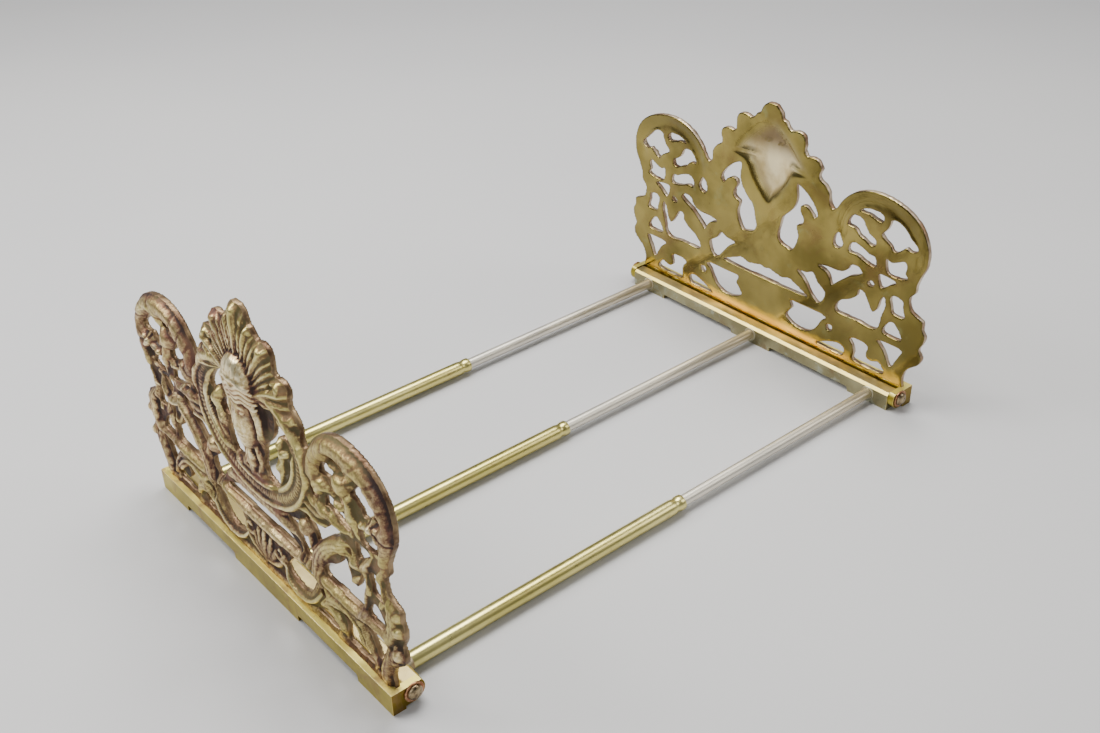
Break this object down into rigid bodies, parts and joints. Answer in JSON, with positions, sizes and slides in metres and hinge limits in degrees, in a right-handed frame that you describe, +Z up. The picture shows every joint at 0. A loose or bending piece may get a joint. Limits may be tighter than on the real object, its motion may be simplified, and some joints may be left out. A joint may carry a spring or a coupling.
{
  "type": "expanding book rack",
  "caption": "Table-top book rack with pierced cast end plates that fold inward and sliding tube-and-rod rails that set its length.",
  "frame": {"origin": "on the table surface, under the middle of the rack as it stands opened", "axes": "+X along the rods from the tube end (near) to the rod end (far), +Y across the rods to the left, +Z up"},
  "size_m": [0.2752, 0.1784, 0.1186],
  "materials": {
    "bar_brass": "satin cast brass with worn bright edges and dull green-grey patches",
    "plate_brass": "antique gilt cast brass, red-brown in the hollows and worn yellow on the high points, polished flat back",
    "tube_brass": "drawn yellow brass, satin, with light stains",
    "rod_steel": "bright nickelled steel, lightly rubbed",
    "stop_brass": "plain turned brass, hidden in the tube",
    "rivet_bronze": "dark domed rivet head, rubbed at the crown",
    "washer_copper": "thin coppery washer, dull"
  },
  "bodies": {
    "near_base": {"near_base_bar": "bar_brass", "slide_tube_left": "tube_brass", "slide_tube_middle": "tube_brass", "slide_tube_right": "tube_brass", "near_rivet_left": "rivet_bronze", "near_rivet_right": "rivet_bronze", "near_washer_left": "washer_copper", "near_washer_right": "washer_copper"},
    "near_plate": {"near_end_plate": "plate_brass"},
    "far_base": {"far_base_bar": "bar_brass", "slide_rod_left": "rod_steel", "slide_rod_middle": "rod_steel", "slide_rod_right": "rod_steel", "rod_stop_left": "stop_brass", "rod_stop_middle": "stop_brass", "rod_stop_right": "stop_brass", "far_rivet_left": "rivet_bronze", "far_rivet_right": "rivet_bronze", "far_washer_left": "washer_copper", "far_washer_right": "washer_copper"},
    "far_plate": {"far_end_plate": "plate_brass"}
  },
  "joints": [
    {"name": "rail_slide", "type": "slide", "parent": "near_base", "child": "far_base", "axis": [1, 0, 0], "range_m": [-0.115, 0.01]},
    {"name": "near_fold", "type": "hinge", "parent": "near_base", "child": "near_plate", "pos_m": [-0.1289, 0, 0.0058], "axis": [0, 1, 0], "range_deg": [0, 87]},
    {"name": "far_fold", "type": "hinge", "parent": "far_base", "child": "far_plate", "pos_m": [0.1289, 0, 0.0058], "axis": [0, -1, 0], "range_deg": [0, 75]}
  ]
}
